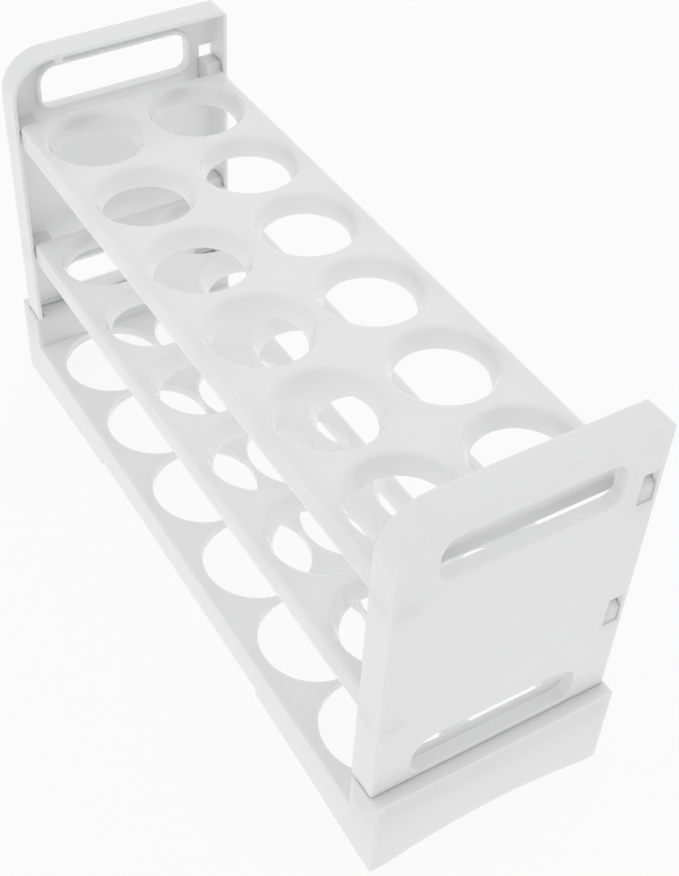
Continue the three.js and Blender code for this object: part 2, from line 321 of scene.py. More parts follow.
def prism(
    corners: list[Place], facing: Facing, low: float, high: float, edge: float = 0.0,
) -> bpy.types.Object:
    """Pushes an outline from one level to another and softens its edges.

    Args:
        corners: The outline, anticlockwise.
        facing: The way that its flat side looks.
        low: The lower level.
        high: The upper level.
        edge: Radius of the softened edges.

    Returns:
        The prism as an object, in millimetres.
    """
    mesh = bmesh.new()
    rings = [[mesh.verts.new(facing.place(u, v, level)) for u, v in corners] for level in (low, high)]
    for index in range(len(corners)):
        mesh.faces.new((rings[0][index - 1], rings[0][index], rings[1][index], rings[1][index - 1]))
    mesh.faces.new(rings[0])
    mesh.faces.new(rings[1])
    bmesh.ops.recalc_face_normals(mesh, faces=mesh.faces[:])
    if edge > 0:
        bmesh.ops.bevel(
            mesh, geom=mesh.edges[:], offset=edge, offset_type="OFFSET",
            segments=EDGE_STEPS, profile=0.5, affect="EDGES",
        )
    bmesh.ops.triangulate(mesh, faces=[face for face in mesh.faces if len(face.verts) > 4])
    return object_from(mesh, "tool")


def box(low: Triple, high: Triple, edge: float = 0.0) -> bpy.types.Object:
    """Returns a box between two corners, with softened edges.

    Args:
        low: The lowest corner.
        high: The highest corner.
        edge: Radius of the softened edges.

    Returns:
        The box as an object, in millimetres.
    """
    corners = [(low[0], low[1]), (high[0], low[1]), (high[0], high[1]), (low[0], high[1])]
    return prism(corners, Facing.UP, low[2], high[2], edge)


def mirrored(source: bpy.types.Object) -> bpy.types.Object:
    """Returns a copy of an object mirrored in the plane across the rack's middle.

    Args:
        source: The object to copy.

    Returns:
        The mirrored copy, with its faces pointing out.
    """
    mesh = bmesh.new()
    mesh.from_mesh(source.data)
    bmesh.ops.transform(mesh, matrix=Matrix.Scale(-1, 4, Vector((1, 0, 0))), verts=mesh.verts[:])
    bmesh.ops.reverse_faces(mesh, faces=mesh.faces[:])
    return object_from(mesh, source.name)


def combine(body: bpy.types.Object, tools: list[bpy.types.Object], operation: Operation) -> None:
    """Joins tools to a body or cuts them out of it, and removes the tools.

    Args:
        body: The object that is changed.
        tools: The objects to join or to cut with.
        operation: What the tools do.
    """
    for tool in tools:
        modifier = body.modifiers.new("combine", "BOOLEAN")
        modifier.operation = operation.value
        modifier.solver = "MANIFOLD"
        modifier.object = tool
        settle(body)
        discard(tool)


def settle(body: bpy.types.Object) -> None:
    """Applies the modifiers of an object to its mesh.

    Args:
        body: The object whose modifiers are applied.
    """
    graph = bpy.context.evaluated_depsgraph_get()
    graph.update()
    made = bpy.data.meshes.new_from_object(body.evaluated_get(graph))
    body.modifiers.clear()
    old = body.data
    body.data = made
    bpy.data.meshes.remove(old)


def discard(tool: bpy.types.Object) -> None:
    """Removes an object together with its mesh.

    Args:
        tool: The object that goes.
    """
    data = tool.data
    bpy.data.objects.remove(tool)
    bpy.data.meshes.remove(data)


@dataclass(frozen=True)
class Shading:
    """How a finished mesh is smoothed."""

    sharp_angle: float = 34.0
    merge: float = 2e-4
    face_weight: int = 60

    def apply(self, body: bpy.types.Object) -> None:
        """Cleans a mesh, turns it into metres and gives it weighted normals.

        Args:
            body: The object, in millimetres.
        """
        mesh = bmesh.new()
        mesh.from_mesh(body.data)
        bmesh.ops.remove_doubles(mesh, verts=mesh.verts[:], dist=self.merge)
        bmesh.ops.dissolve_degenerate(mesh, edges=mesh.edges[:], dist=self.merge)
        bmesh.ops.triangulate(mesh, faces=[face for face in mesh.faces if len(face.verts) > 4])
        bmesh.ops.transform(mesh, matrix=Matrix.Scale(MILLIMETRE, 4), verts=mesh.verts[:])
        limit = math.radians(self.sharp_angle)
        for face in mesh.faces:
            face.smooth = True
        for edge in mesh.edges:
            edge.smooth = len(edge.link_faces) == 2 and edge.calc_face_angle(0.0) < limit
        open_edges = sum(1 for edge in mesh.edges if len(edge.link_faces) != 2)
        if open_edges:
            LOG.warning("%s has %d edges that do not close", body.name, open_edges)
        mesh.to_mesh(body.data)
        mesh.free()
        weighted = body.modifiers.new("normals", "WEIGHTED_NORMAL")
        weighted.mode = "FACE_AREA_WITH_ANGLE"
        weighted.weight = self.face_weight
        weighted.keep_sharp = True
        settle(body)


@dataclass(frozen=True)
class PlasticGroup:
    """The shader group that every moulded piece shares: milky colour, soft waves and a fine skin."""

    name: str = "moulded_plastic"

    def build(self) -> bpy.types.ShaderNodeTree:
        """Builds the group once.

        Returns:
            The group, with outputs for colour, roughness and height.
        """
        known = bpy.data.node_groups.get(self.name)
        if known:
            return known
        group = bpy.data.node_groups.new(self.name, "ShaderNodeTree")
        for label, kind, value in (
            ("Body Colour", "NodeSocketColor", (0.85, 0.85, 0.85, 1.0)),
            ("Cloud Colour", "NodeSocketColor", (0.8, 0.8, 0.8, 1.0)),
            ("Cloud Scale", "NodeSocketFloat", 20.0),
            ("Cloud Amount", "NodeSocketFloat", 0.5),
            ("Roughness", "NodeSocketFloat", 0.25),
            ("Roughness Spread", "NodeSocketFloat", 0.1),
            ("Wave Scale", "NodeSocketFloat", 30.0),
            ("Wave Height", "NodeSocketFloat", 0.6),
            ("Skin Scale", "NodeSocketFloat", 2500.0),
            ("Skin Height", "NodeSocketFloat", 0.1),
        ):
            socket = group.interface.new_socket(label, in_out="INPUT", socket_type=kind)
            socket.default_value = value
        group.interface.new_socket("Colour", in_out="OUTPUT", socket_type="NodeSocketColor")
        group.interface.new_socket("Roughness", in_out="OUTPUT", socket_type="NodeSocketFloat")
        group.interface.new_socket("Height", in_out="OUTPUT", socket_type="NodeSocketFloat")
        nodes, links = group.nodes, group.links
        inside = nodes.new("NodeGroupInput")
        outside = nodes.new("NodeGroupOutput")
        place = nodes.new("ShaderNodeTexCoord")
        cloud = self.noise(group, place, inside.outputs["Cloud Scale"], detail=3.0)
        wave = self.noise(group, place, inside.outputs["Wave Scale"], detail=1.0)
        skin = self.noise(group, place, inside.outputs["Skin Scale"], detail=2.0)

        share = self.maths(group, "MULTIPLY", cloud.outputs["Fac"], inside.outputs["Cloud Amount"])
        mix = nodes.new("ShaderNodeMix")
        mix.data_type = "RGBA"
        links.new(share.outputs[0], mix.inputs["Factor"])
        links.new(inside.outputs["Body Colour"], mix.inputs["A"])
        links.new(inside.outputs["Cloud Colour"], mix.inputs["B"])
        links.new(mix.outputs["Result"], outside.inputs["Colour"])

        spread = self.maths(group, "MULTIPLY", wave.outputs["Fac"], inside.outputs["Roughness Spread"])
        rough = self.maths(group, "ADD", spread.outputs[0], inside.outputs["Roughness"])
        links.new(rough.outputs[0], outside.inputs["Roughness"])

        slow = self.maths(group, "MULTIPLY", wave.outputs["Fac"], inside.outputs["Wave Height"])
        fine = self.maths(group, "MULTIPLY", skin.outputs["Fac"], inside.outputs["Skin Height"])
        height = self.maths(group, "ADD", slow.outputs[0], fine.outputs[0])
        links.new(height.outputs[0], outside.inputs["Height"])
        return group

    @staticmethod
    def noise(
        group: bpy.types.ShaderNodeTree, place: bpy.types.Node, scale: bpy.types.NodeSocket, detail: float,
    ) -> bpy.types.Node:
        """Adds a noise texture in the object's own coordinates.

        Args:
            group: The group that holds the texture.
            place: The coordinates node.
            scale: The socket that sets the texture's scale.
            detail: Octaves of the noise.

        Returns:
            The noise node.
        """
        texture = group.nodes.new("ShaderNodeTexNoise")
        texture.inputs["Detail"].default_value = detail
        group.links.new(place.outputs["Object"], texture.inputs["Vector"])
        group.links.new(scale, texture.inputs["Scale"])
        return texture

    @staticmethod
    def maths(
        group: bpy.types.ShaderNodeTree, operation: str,
        first: bpy.types.NodeSocket, second: bpy.types.NodeSocket,
    ) -> bpy.types.Node:
        """Adds a sum of two sockets.

        Args:
            group: The group that holds the node.
            operation: Name of the sum.
            first: The first value.
            second: The second value.

        Returns:
            The maths node.
        """
        node = group.nodes.new("ShaderNodeMath")
        node.operation = operation
        group.links.new(first, node.inputs[0])
        group.links.new(second, node.inputs[1])
        return node


@dataclass(frozen=True)
class PlasticFinish:
    """Milky glossy plastic for one kind of moulding; its body colour also carries painted light or shade for
    that kind.
    """

    name: str
    body: Triple
    cloud: Triple
    cloud_scale: float = 18.0
    cloud_amount: float = 0.6
    roughness: float = 0.08
    roughness_spread: float = 0.05
    wave_scale: float = 28.0
    wave_height: float = 0.15
    skin_scale: float = 2400.0
    skin_height: float = 0.004
    bump_distance: float = 0.0006
    depth: float = 1.0
    reach: float = 0.024
    ior: float = 1.49

    def material(self) -> bpy.types.Material:
        """Builds the material.

        Returns:
            The material, with its values on its own sockets.
        """
        made = bpy.data.materials.new(self.name)
        made.use_nodes = True
        tree = made.node_tree
        shader = tree.nodes["Principled BSDF"]
        group = tree.nodes.new("ShaderNodeGroup")
        group.node_tree = PlasticGroup().build()
        for label, value in (
            ("Body Colour", (*self.body, 1.0)),
            ("Cloud Colour", (*self.cloud, 1.0)),
            ("Cloud Scale", self.cloud_scale),
            ("Cloud Amount", self.cloud_amount),
            ("Roughness", self.roughness),
            ("Roughness Spread", self.roughness_spread),
            ("Wave Scale", self.wave_scale),
            ("Wave Height", self.wave_height),
            ("Skin Scale", self.skin_scale),
            ("Skin Height", self.skin_height),
        ):
            group.inputs[label].default_value = value
        bump = tree.nodes.new("ShaderNodeBump")
        bump.inputs["Strength"].default_value = 1.0
        bump.inputs["Distance"].default_value = self.bump_distance
        tree.links.new(group.outputs["Colour"], shader.inputs["Base Color"])
        tree.links.new(group.outputs["Roughness"], shader.inputs["Roughness"])
        tree.links.new(group.outputs["Height"], bump.inputs["Height"])
        tree.links.new(bump.outputs["Normal"], shader.inputs["Normal"])
        shader.inputs["IOR"].default_value = self.ior
        shader.subsurface_method = "RANDOM_WALK_SKIN"
        shader.inputs["Subsurface Weight"].default_value = self.depth
        shader.inputs["Subsurface Radius"].default_value = (1.0, 1.0, 1.0)
        shader.inputs["Subsurface Scale"].default_value = self.reach
        return made


def dress(body: bpy.types.Object, finish: bpy.types.Material, nodes: list[str]) -> None:
    """Gives a finished piece its material and body, and hides the solid nodes that it stands for.

    Args:
        body: The piece.
        finish: Its material.
        nodes: The solid nodes that it replaces.
    """
    body.data.materials.clear()
    body.data.materials.append(finish)
    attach(body, "root")
    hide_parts(*nodes)
    LOG.info("%s: %d faces", body.name, len(body.data.polygons))


@dataclass(frozen=True)
class Grid:
    """The places for eggs."""

    columns: int = 6
    rows: int = 2
    pitch: float = 50.0

    def centres(self) -> list[Place]:
        """Returns the centre of each place."""
        return [
            ((column - (self.columns - 1) / 2) * self.pitch, (row - (self.rows - 1) / 2) * self.pitch)
            for column in range(self.columns)
            for row in range(self.rows)
        ]


@dataclass
class EggShelf:
    """One shelf: a thin skin with twelve collars, skirts, and what holds it at its ends."""

    name: str
    level: float
    grid: Grid = field(default_factory=Grid)
    half_length: float = 150.0
    half_width: float = 51.7
    corner: float = 2.2
    edge: float = 1.5
    skin: float = 2.4
    skirt_wall: float = 2.0
    skirt_drop: float = 10.6
    end_drop: float = 7.3
    skirt_rim: float = 0.45
    root: float = 0.1
    margin: float = 0.03
    mouth: float = 23.3
    mouth_fillet: float = 2.0
    throat: float = 18.6
    throat_rim: float = 0.4
    collar_wall: float = 1.6
    collar_drop: float = 9.1
    lug_front: float = 44.2
    lug_tip: float = 159.8
    lug_drop: float = 8.8
    lug_rise: float = 4.0
    lug_slope: float = 1.4
    nose_front: float = 45.2
    nose_back: float = 51.2
    nose_tip: float = 162.0
    nose_drop: float = 4.8
    nose_slope: float = 1.6
    tongue_width: float = 9.0
    tongue_top: float = 4.3
    tongue_thickness: float = 4.0
    softness: float = 0.3

    def skin_form(self) -> bpy.types.Object:
        """Builds the skin with its collars and skirts, as one closed surface.

        Returns:
            The body with its top face at zero, in millimetres.
        """
        form = Form(Facing.UP)
        outline = RoundRectangle(
            (-self.half_length, -self.half_width), (self.half_length, self.half_width), (self.corner,) * 4,
        )
        side = rounded_path([
            Bend(self.edge + self.margin, 0.0),
            Bend(0.0, 0.0, self.edge),
            Bend(0.0, -self.skirt_drop, self.skirt_rim),
            Bend(self.skirt_wall, -self.skirt_drop, self.skirt_rim),
            Bend(self.skirt_wall, -self.skin, self.root),
            Bend(self.skirt_wall + self.root + self.margin, -self.skin),
        ], BEND_STEPS)
        top, under = form.sweep(outline, side)
        collar = rounded_path(self.collar_bends(), BEND_STEPS)
        rings = [form.sweep(Circle(centre), collar) for centre in self.grid.centres()]
        form.cap(top, [first for first, _ in rings])
        form.cap(under, [last for _, last in rings])
        return form.body(self.name)

    def collar_bends(self) -> list[Bend]:
        """Lays out the section of a collar.

        Returns:
            The corners, from the skin round the mouth, down the funnel and back up outside it.
        """
        across = self.mouth - self.throat
        down = self.collar_drop - self.mouth_fillet
        lean = math.atan2(across, down) - math.asin(self.mouth_fillet / math.hypot(across, down))
        outside = self.throat + self.collar_wall
        under = outside + (self.collar_drop - self.skin) * math.tan(lean)
        return [
            Bend(self.mouth + self.margin, 0.0),
            Bend(self.throat + self.collar_drop * math.tan(lean), 0.0, self.mouth_fillet),
            Bend(self.throat, -self.collar_drop, self.throat_rim),
            Bend(outside, -self.collar_drop, self.throat_rim),
            Bend(under, -self.skin, self.root),
            Bend(under + self.root + self.margin, -self.skin),
        ]

    def lug(self) -> list[bpy.types.Object]:
        """Builds the lug at the right back corner, with the nose that snaps into the plate.

        Returns:
            The lug and its nose, as two objects to join.
        """
        inside = self.half_length - self.skirt_wall
        slope = self.half_length + self.lug_slope
        lug = [
            (inside, -self.lug_drop), (self.lug_tip, -self.lug_drop), (self.lug_tip, self.lug_rise),
            (slope, self.lug_rise), (self.half_length, 0.0), (inside, 0.0),
        ]
        nose = [
            (slope, -self.nose_drop), (self.nose_tip, -self.nose_drop),
            (self.nose_tip, self.lug_rise - self.nose_slope),
            (self.nose_tip - self.nose_slope, self.lug_rise), (slope, self.lug_rise),
        ]
        return [
            prism(lug, Facing.FRONT, self.lug_front, self.half_width, self.softness),
            prism(nose, Facing.FRONT, self.nose_front, self.nose_back, self.softness),
        ]

    def tongue(self) -> bpy.types.Object:
        """Builds the flat tongue at the right front corner."""
        return box(
            (self.half_length - self.skirt_wall, -self.half_width, -self.tongue_top - self.tongue_thickness),
            (self.lug_tip, -self.half_width + self.tongue_width, -self.tongue_top),
            self.softness,
        )

    def build(self, finish: bpy.types.Material) -> bpy.types.Object:
        """Builds the whole shelf and dresses it.

        Args:
            finish: The shelf's material.

        Returns:
            The finished piece.
        """
        body = self.skin_form()
        between = self.half_width - self.skirt_wall
        cutter = box(
            (self.half_length - self.skirt_wall - PAST, -between, -self.skirt_drop - PAST),
            (self.half_length + PAST, between, -self.end_drop),
        )
        combine(body, [mirrored(cutter), cutter], Operation.CUT)
        ends = [*self.lug(), self.tongue()]
        combine(body, [*(mirrored(end) for end in ends), *ends], Operation.JOIN)
        body.data.transform(Matrix.Translation((0.0, 0.0, self.level)))
        Shading().apply(body)
        dress(body, finish, [self.name])
        return body


@dataclass(frozen=True)
class HandSlot:
    """One long slot in an end plate, with the lip behind it."""

    low: float
    top_radius: float
    low_radius: float
    half: float = 37.0
    height: float = 20.0
    lip_depth: float = 5.8
    lip_wall: float = 1.8
    edge: float = 0.8
    rim: float = 0.5
    root: float = 0.6
    margin: float = 0.3

    def outline(self) -> RoundRectangle:
        """Returns the slot's outline."""
        radii = (self.top_radius, self.top_radius, self.low_radius, self.low_radius)
        return RoundRectangle((-self.half, self.low), (self.half, self.low + self.height), radii)

    def path(self, face: float, inner: float) -> list[Place]:
        """Returns the section from the plate's face round the lip to the web's inner side.

        Args:
            face: Level of the plate's outer face.
            inner: Level of the web's inner side.

        Returns:
            Insets, which are negative outside the slot, and levels.
        """
        end = face - self.lip_depth
        return rounded_path([
            Bend(-self.edge - self.margin, face),
            Bend(0.0, face, self.edge),
            Bend(0.0, end, self.rim),
            Bend(-self.lip_wall, end, self.rim),
            Bend(-self.lip_wall, inner, self.root),
            Bend(-self.lip_wall - self.root - self.margin, inner),
        ], BEND_STEPS)


@dataclass
class EndPlate:
    """One tray-shaped end plate, drawn at the right end."""

    tiers: tuple[float, float]
    half_width: float = 54.0
    top: float = 186.0
    face: float = 162.3
    tray_edge: float = 148.6
    web: float = 2.2
    flange: float = 2.0
    front_radius: float = 20.0
    back_radius: float = 3.0
    edge: float = 1.0
    rim: float = 0.5
    root: float = 0.8
    margin: float = 0.4
    shoulder: float = 43.65
    block_top: float = 43.6
    foot_bottom: float = 31.6
    foot_top: float = 45.4
    foot_outer: float = 161.1
    foot_wall: float = 2.3
    foot_end: float = 152.6
    foot_side: float = 52.8
    window_front: float = 44.7
    window_back: float = 51.7
    window_drop: float = 5.3
    window_height: float = 15.0
    pad_start: float = 150.6
    pad_face: float = 54.4
    ledge_start: float = 150.8
    ledge_width: float = 11.0
    ledge_wall: float = 1.8
    lug_drop: float = 8.8
    tongue_top: float = 4.3
    tongue_thickness: float = 4.0
    gap: float = 0.3
    nub_front: float = -32.0
    nub_back: float = -28.0
    nub_under: float = 181.6
    nub_depth: float = 3.0
    handle_sill: float = 0.7
    handle_radii: Place = (8.0, 5.0)
    lower_sill: float = 2.4
    lower_radii: Place = (9.8, 5.0)
    cut_off: float = 15.0
    corner_steps: int = 12
    softness: float = 0.3

    def tray(self) -> bpy.types.Object:
        """Builds the web, the flange round it and both slots, as one closed surface.

        Returns:
            The tray, cut off at its shoulder, in millimetres.
        """
        inner = self.face - self.web
        form = Form(Facing.RIGHT)
        radii = (self.back_radius, self.front_radius, self.back_radius, self.back_radius)
        low = (-self.half_width, self.shoulder - self.cut_off)
        outline = RoundRectangle(low, (self.half_width, self.top), radii, self.corner_steps)
        wall = rounded_path([
            Bend(self.edge + self.margin, self.face),
            Bend(0.0, self.face, self.edge),
            Bend(0.0, self.tray_edge, self.rim),
            Bend(self.flange, self.tray_edge, self.rim),
            Bend(self.flange, inner, self.root),
            Bend(self.flange + self.root + self.margin, inner),
        ], BEND_STEPS)
        outer_first, outer_last = form.sweep(outline, wall)
        slots = (
            HandSlot(self.tiers[1] + self.handle_sill, *self.handle_radii),
            HandSlot(self.block_top + self.lower_sill, *self.lower_radii),
        )
        rings = [form.sweep(slot.outline(), slot.path(self.face, inner)) for slot in slots]
        form.cap(outer_first, [first for first, _ in rings])
        form.cap(outer_last, [last for _, last in rings])
        body = form.body("plate")
        near, far = 100.0, 200.0
        below = box((near, -far, -far), (far, far, self.shoulder))
        combine(body, [below], Operation.CUT)
        return body

    def foot(self) -> bpy.types.Object:
        """Builds the thinner foot, a U in plan, that drops into the base."""
        inner_x = self.foot_outer - self.foot_wall
        inner_y = self.foot_side - self.foot_wall
        corners = [
            (self.foot_end, -self.foot_side), (self.foot_outer, -self.foot_side),
            (self.foot_outer, self.foot_side), (self.foot_end, self.foot_side),
            (self.foot_end, inner_y), (inner_x, inner_y),
            (inner_x, -inner_y), (self.foot_end, -inner_y),
        ]
        return prism(corners, Facing.UP, self.foot_bottom, self.foot_top)

    def ledge(self, side: int, top: float) -> bpy.types.Object:
        """Builds a ledge in a corner of the tray.

        Args:
            side: 1 at the back, -1 at the front.
            top: Height of its upper face.

        Returns:
            The ledge as an object.
        """
        near = self.half_width - self.flange - self.ledge_width
        far = self.half_width - self.flange / 2
        low, high = sorted((side * near, side * far))
        return box(
            (self.ledge_start, low, top - self.ledge_wall),
            (self.face - self.web / 2, high, top),
            self.softness,
        )

    def shelf_seats(self) -> tuple[list[bpy.types.Object], list[bpy.types.Object]]:
        """Builds what holds the shelves.

        Returns:
            The ledges and pads to join, and the windows to cut.
        """
        joined: list[bpy.types.Object] = []
        cut: list[bpy.types.Object] = []
        for tier in self.tiers:
            low = tier - self.window_drop
            high = low + self.window_height
            under_tongue = tier - self.tongue_top - self.tongue_thickness
            joined.append(self.ledge(1, tier - self.lug_drop - self.gap))
            joined.append(self.ledge(-1, under_tongue - self.gap))
            joined.append(self.ledge(-1, tier - self.tongue_top + self.gap + self.ledge_wall))
            joined.append(box(
                (self.pad_start, self.half_width - self.flange / 2, low),
                (self.face - self.edge, self.pad_face, high), self.softness,
            ))
            cut.append(box(
                (self.face - self.web - PAST, self.window_front, low),
                (self.face + PAST, self.window_back, high),
            ))
        return joined, cut

    def build(self, side: int, finish: bpy.types.Material) -> bpy.types.Object:
        """Builds the whole plate and dresses it.

        Args:
            side: 1 for the right plate, -1 for the left one.
            finish: The plate's material.

        Returns:
            The finished piece.
        """
        body = self.tray()
        joined, cut = self.shelf_seats()
        nub = box(
            (self.tray_edge, self.nub_front, self.nub_under),
            (self.tray_edge + self.nub_depth, self.nub_back, self.top - self.flange / 2),
            self.softness,
        )
        combine(body, [self.foot(), *joined, nub], Operation.JOIN)
        combine(body, cut, Operation.CUT)
        if side < 0:
            turned = mirrored(body)
            discard(body)
            body = turned
        name = "right_end_plate" if side > 0 else "left_end_plate"
        body.name = name
        Shading().apply(body)
        dress(body, finish, [name])
        return body


@dataclass
class OpenBase:
    """The base: a low deck with twelve wide holes between two raised blocks, over arched skirts."""

    grid: Grid = field(default_factory=Grid)
    half_length: float = 168.0
    half_width: float = 55.0
    deck: float = 24.5
    block_top: float = 43.6
    block_face: float = 150.3
    block_radius: float = 4.0
    block_skin: float = 2.4
    wall: float = 2.2
    edge: float = 0.9
    deck_skin: float = 2.5
    rim_drop: float = 4.5
    hole: float = 24.35
    hole_rim: float = 1.3
    hole_edge: float = 0.35
    foot: float = 8.0
    arch_rise: float = 5.6
    relief_half: float = 78.0
    relief_rise: float = 7.5
    end_rise: float = 6.2
    relief_slope: float = 1.5
    gap: float = 0.3
    socket_wall: float = 1.8
    margin: float = 0.3
    side_steps: int = 16
    block_steps: int = 10
    end_steps: int = 24
    edge_steps: int = 3

    def side_arch(self) -> list[Place]:
        """Lays out the lower edge of a long side.

        Returns:
            The places along it, from right to left.
        """
        reach = self.half_length - self.foot
        right: list[Place] = []
        for step in range(self.side_steps + 1):
            x = reach + (self.relief_half - reach) * step / self.side_steps
            right.append((x, self.arch_rise * (1 - (x / reach) ** 2)))
        right.append((self.relief_half - self.relief_slope, self.relief_rise))
        return [*right, *((-x, z) for x, z in reversed(right))]

    def outline(self) -> FreeOutline:
        """Lays out the base's outline, seen from the front.

        Returns:
            The outline, anticlockwise.
        """
        corner = self.block_top - self.block_radius
        right: list[Place] = [(self.half_length, 0.0), (self.half_length, self.block_top)]
        for step in range(self.block_steps + 1):
            angle = QUARTER * (1 + step / self.block_steps)
            right.append((
                self.block_face + self.block_radius * (1 + math.cos(angle)),
                corner + self.block_radius * math.sin(angle),
            ))
        right.append((self.block_face, self.deck))
        left = [(-x, z) for x, z in reversed(right)]
        return FreeOutline((*right, *left, *reversed(self.side_arch())))

    def envelope(self) -> bpy.types.Object:
        """Builds the outside of the base with softened edges.

        Returns:
            The outside as an object.
        """
        form = Form(Facing.FRONT)
        end = self.half_width
        path = rounded_path([
            Bend(self.edge + self.margin, -end),
            Bend(0.0, -end, self.edge),
            Bend(0.0, end, self.edge),
            Bend(self.edge + self.margin, end),
        ], BEND_STEPS)
        first, last = form.sweep(self.outline(), path)
        form.cap(first)
        form.cap(last)
        return form.body("base")

    def hollow(self) -> bpy.types.Object:
        """Builds the hollow under the deck and inside the blocks.

        Returns:
            The cutter of the hollow.
        """
        end = self.half_length - self.wall
        inner = self.block_face + self.wall
        ceiling = self.block_top - self.block_skin
        under = self.deck - self.deck_skin
        corners = [
            (-end, -PAST), (end, -PAST), (end, ceiling), (inner, ceiling), (inner, under),
            (-inner, under), (-inner, ceiling), (-end, ceiling),
        ]
        return prism(corners, Facing.FRONT, -self.half_width + self.wall, self.half_width - self.wall)

    def hole_tool(self, centre: Place) -> bpy.types.Object:
        """Builds the cutter of one hole, which leaves its upper edge softened.

        Args:
            centre: The hole's centre.

        Returns:
            The cutter as an object.
        """
        form = Form(Facing.UP)
        path = rounded_path([
            Bend(self.hole, self.deck - self.rim_drop - PAST),
            Bend(self.hole, self.deck, self.hole_edge),
            Bend(self.hole + PAST, self.deck),
        ], self.edge_steps)[:-1]
        path.append((self.hole + self.hole_edge, self.deck + PAST))
        first, last = form.sweep(Circle(centre, HOLE_STEPS), path)
        form.cap(first)
        form.cap(last)
        return form.body("hole")

    def rim_tool(self, centre: Place) -> bpy.types.Object:
        """Builds the disc that leaves a rim below the deck round one hole.

        Args:
            centre: The hole's centre.

        Returns:
            The disc as an object.
        """
        form = Form(Facing.UP)
        radius = self.hole + self.hole_rim
        first, last = form.sweep(
            Circle(centre, HOLE_STEPS),
            [(radius, self.deck - self.rim_drop), (radius, self.deck - self.deck_skin / 2)],
        )
        form.cap(first)
        form.cap(last)
        return form.body("rim")

    def end_arch(self) -> bpy.types.Object:
        """Builds the cutter of the arch under the end skirts.

        Returns:
            The cutter, which runs through both ends.
        """
        reach = self.half_width - self.foot
        corners: list[Place] = [(-reach, -PAST), (reach, -PAST)]
        for step in range(self.end_steps + 1):
            y = reach - 2 * reach * step / self.end_steps
            corners.append((y, self.end_rise * (1 - (y / reach) ** 2)))
        return prism(corners, Facing.RIGHT, -self.half_length - PAST, self.half_length + PAST)

    def socket(self, plate: EndPlate, grow: float, low: float, high: float) -> bpy.types.Object:
        """Builds the foot's outline, grown, between two heights.

        Args:
            plate: The plate whose foot it takes.
            grow: How far the outline grows.
            low: The lower height.
            high: The upper height.

        Returns:
            The prism as an object.
        """
        outer_x = plate.foot_outer + grow
        inner_x = plate.foot_outer - plate.foot_wall - grow
        outer_y = plate.foot_side + grow
        inner_y = plate.foot_side - plate.foot_wall - grow
        end = plate.foot_end - grow
        corners = [
            (end, -outer_y), (outer_x, -outer_y), (outer_x, outer_y), (end, outer_y),
            (end, inner_y), (inner_x, inner_y), (inner_x, -inner_y), (end, -inner_y),
        ]
        return prism(corners, Facing.UP, low, high)

    def build(self, plate: EndPlate, finish: bpy.types.Material) -> bpy.types.Object:
        """Builds the whole base and dresses it.

        Args:
            plate: An end plate, for the size of its foot.
            finish: The base's material.

        Returns:
            The finished piece.
        """
        body = self.envelope()
        combine(body, [self.hollow()], Operation.CUT)
        combine(body, [self.rim_tool(centre) for centre in self.grid.centres()], Operation.JOIN)
        bottom = plate.foot_bottom - self.gap
        under_top = self.block_top - self.block_skin / 2
        shell = self.socket(plate, self.gap + self.socket_wall, bottom - self.socket_wall, under_top)
        groove = self.socket(plate, self.gap, bottom, self.block_top + PAST)
        combine(body, [mirrored(shell), shell], Operation.JOIN)
        combine(body, [mirrored(groove), groove], Operation.CUT)
        combine(body, [self.end_arch()], Operation.CUT)
        combine(body, [self.hole_tool(centre) for centre in self.grid.centres()], Operation.CUT)
        Shading().apply(body)
        dress(body, finish, ["base"])
        return body


@dataclass(frozen=True)
class Lamp:
    """One soft lamp that looks at a point."""

    name: str
    place: Triple
    target: Triple
    size: float
    power: float

    def build(self) -> None:
        """Adds the lamp to the scene."""
        data = bpy.data.lights.new(self.name, "AREA")
        data.shape = "DISK"
        data.size = self.size
        data.energy = self.power
        made = bpy.data.objects.new(self.name, data)
        bpy.context.scene.collection.objects.link(made)
        made.location = self.place
        made.rotation_euler = (Vector(self.target) - Vector(self.place)).to_track_quat("-Z", "Y").to_euler()


